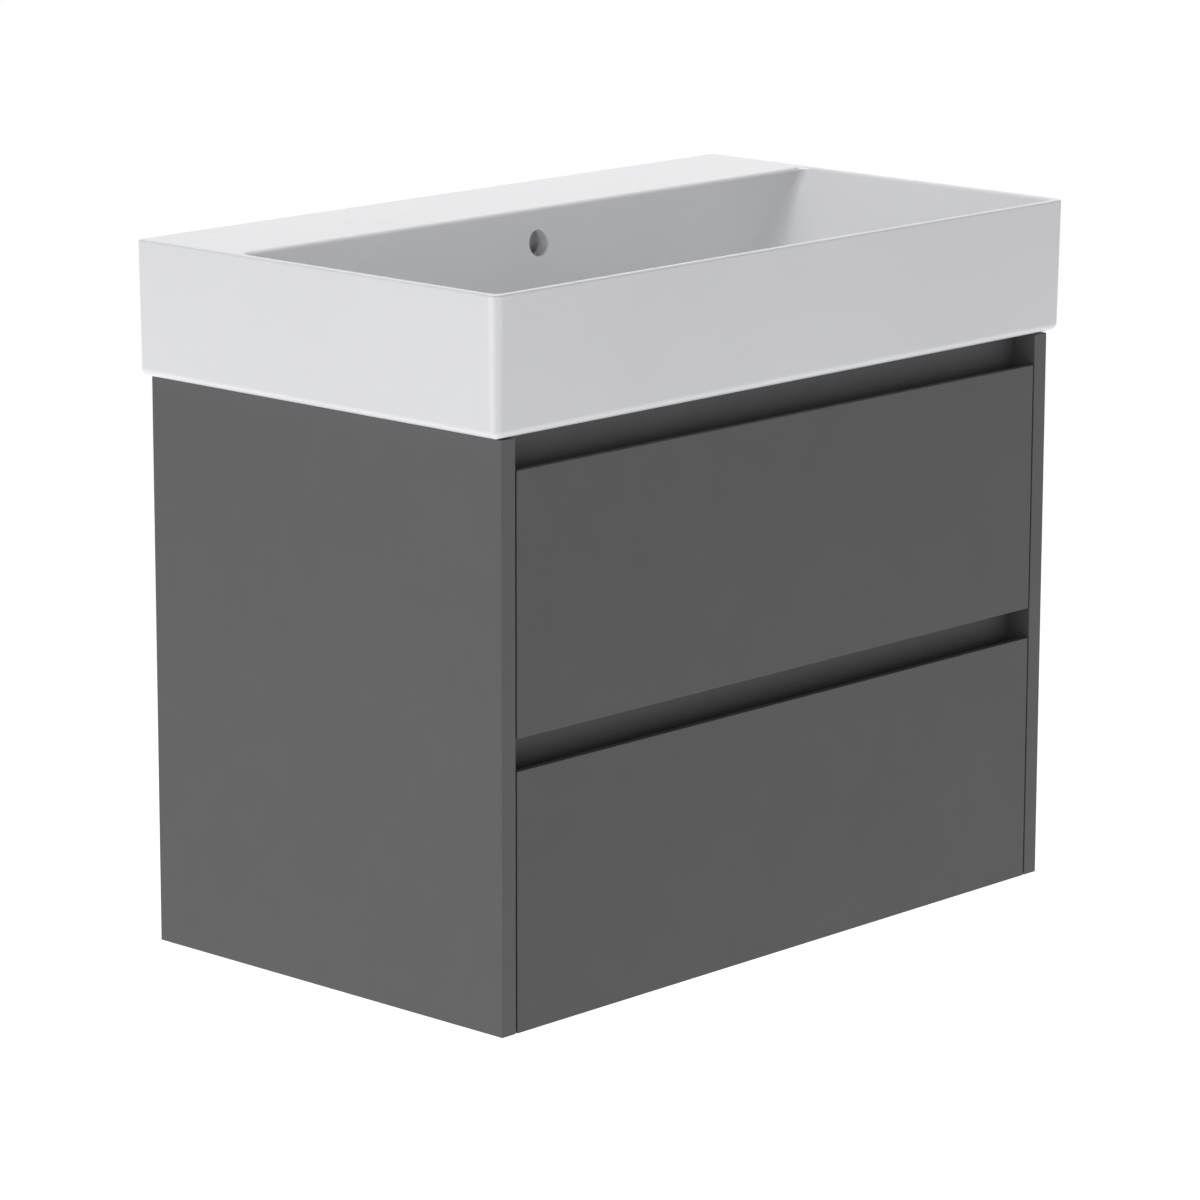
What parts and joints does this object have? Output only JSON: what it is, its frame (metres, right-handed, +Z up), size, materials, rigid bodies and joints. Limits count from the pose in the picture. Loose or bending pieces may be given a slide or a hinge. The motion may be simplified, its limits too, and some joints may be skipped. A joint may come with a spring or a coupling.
{
  "type": "bathroom vanity cabinet",
  "caption": "Wall-hung handleless vanity: matt anthracite cabinet with stacked pull-out drawers and finger recesses under a full-width rectangular white ceramic basin with a rear ledge.",
  "frame": {"origin": "on the wall, at the centre of the four screw holes of the two wall plates", "axes": "+X to the right seen from the front, +Y into the wall, +Z up"},
  "size_m": [0.8, 0.465, 0.6815],
  "materials": {
    "glazed_ceramic": "gloss white glaze",
    "sealant": "translucent white silicone",
    "side_panel": "matt anthracite melamine on board",
    "front_panel": "matt anthracite lacquer on board",
    "recess_panel": "matt anthracite melamine on board",
    "carcass_panel": "matt anthracite melamine on board",
    "drawer_board": "light grey melamine on board",
    "dowel_wood": "raw beech",
    "hanger_plastic": "moulded white-grey nylon",
    "damper_plastic": "moulded grey plastic",
    "clip_plastic": "moulded grey plastic",
    "lever_plastic": "moulded orange plastic",
    "zinc_plate": "zinc-plated sheet",
    "runner_steel": "zinc-plated sheet",
    "fastener_steel": "zinc-plated"
  },
  "bodies": {
    "carcass": {"side_panel_left": "side_panel", "side_panel_right": "side_panel", "bottom_panel": "carcass_panel", "upper_recess_rail": "recess_panel", "middle_recess_rail": "recess_panel", "top_rail": "carcass_panel", "back_rail_upper": "carcass_panel", "back_rail_lower": "carcass_panel", "basin": "glazed_ceramic", "basin_sealant": "sealant", "hanger_body_left": "hanger_plastic", "hanger_body_right": "hanger_plastic", "hanger_hooks": "zinc_plate", "hanger_adjusters": "fastener_steel", "wall_plate_left": "zinc_plate", "wall_plate_right": "zinc_plate", "carcass_dowels": "dowel_wood", "cam_housings": "fastener_steel", "cam_bolts": "fastener_steel", "upper_fixed_rail_left": "runner_steel", "upper_fixed_rail_right": "runner_steel", "lower_fixed_rail_left": "runner_steel", "lower_fixed_rail_right": "runner_steel", "runner_screws": "fastener_steel", "soft_close_units": "damper_plastic"},
    "upper_drawer": {"upper_front": "front_panel", "upper_box_front": "drawer_board", "upper_box_side_left": "drawer_board", "upper_box_side_right": "drawer_board", "upper_box_back_left": "drawer_board", "upper_box_back_right": "drawer_board", "upper_cutout_left": "drawer_board", "upper_cutout_right": "drawer_board", "upper_cutout_front": "drawer_board", "upper_box_base": "drawer_board", "upper_drawer_rail_left": "runner_steel", "upper_drawer_rail_right": "runner_steel", "upper_clip_left": "clip_plastic", "upper_clip_right": "clip_plastic", "upper_front_screws": "fastener_steel"},
    "upper_runner_mid": {"upper_mid_rail_left": "runner_steel", "upper_mid_rail_right": "runner_steel"},
    "lower_drawer": {"lower_front": "front_panel", "lower_box_front": "drawer_board", "lower_box_side_left": "drawer_board", "lower_box_side_right": "drawer_board", "lower_box_back": "drawer_board", "lower_box_base": "drawer_board", "lower_drawer_rail_left": "runner_steel", "lower_drawer_rail_right": "runner_steel", "lower_clip_left": "clip_plastic", "lower_clip_right": "clip_plastic", "lower_front_screws": "fastener_steel"},
    "lower_runner_mid": {"lower_mid_rail_left": "runner_steel", "lower_mid_rail_right": "runner_steel"},
    "upper_lever_left_body": {"upper_lever_left": "lever_plastic"},
    "upper_lever_right_body": {"upper_lever_right": "lever_plastic"},
    "lower_lever_left_body": {"lower_lever_left": "lever_plastic"},
    "lower_lever_right_body": {"lower_lever_right": "lever_plastic"}
  },
  "joints": [
    {"name": "upper_drawer_slide", "type": "slide", "parent": "carcass", "child": "upper_drawer", "axis": [0, -1, 0], "range_m": [0, 0.35]},
    {"name": "upper_runner_mid_slide", "type": "slide", "parent": "carcass", "child": "upper_runner_mid", "axis": [0, -1, 0], "range_m": [0, 0.175]},
    {"name": "lower_drawer_slide", "type": "slide", "parent": "carcass", "child": "lower_drawer", "axis": [0, -1, 0], "range_m": [0, 0.35]},
    {"name": "lower_runner_mid_slide", "type": "slide", "parent": "carcass", "child": "lower_runner_mid", "axis": [0, -1, 0], "range_m": [0, 0.175]},
    {"name": "upper_lever_left_pivot", "type": "hinge", "parent": "upper_drawer", "child": "upper_lever_left_body", "pos_m": [-0.306, -0.403, -0.1575], "axis": [0, 0, 1], "range_deg": [0, 20], "stiffness_Nm_per_rad": 0.05},
    {"name": "upper_lever_right_pivot", "type": "hinge", "parent": "upper_drawer", "child": "upper_lever_right_body", "pos_m": [0.306, -0.403, -0.1575], "axis": [0, 0, -1], "range_deg": [0, 20], "stiffness_Nm_per_rad": 0.05},
    {"name": "lower_lever_left_pivot", "type": "hinge", "parent": "lower_drawer", "child": "lower_lever_left_body", "pos_m": [-0.306, -0.403, -0.4215], "axis": [0, 0, 1], "range_deg": [0, 20], "stiffness_Nm_per_rad": 0.05},
    {"name": "lower_lever_right_pivot", "type": "hinge", "parent": "lower_drawer", "child": "lower_lever_right_body", "pos_m": [0.306, -0.403, -0.4215], "axis": [0, 0, -1], "range_deg": [0, 20], "stiffness_Nm_per_rad": 0.05}
  ],
  "couplings": [
    {"joint": "upper_runner_mid_slide", "follows": "upper_drawer_slide", "ratio": 0.5},
    {"joint": "lower_runner_mid_slide", "follows": "lower_drawer_slide", "ratio": 0.5}
  ]
}
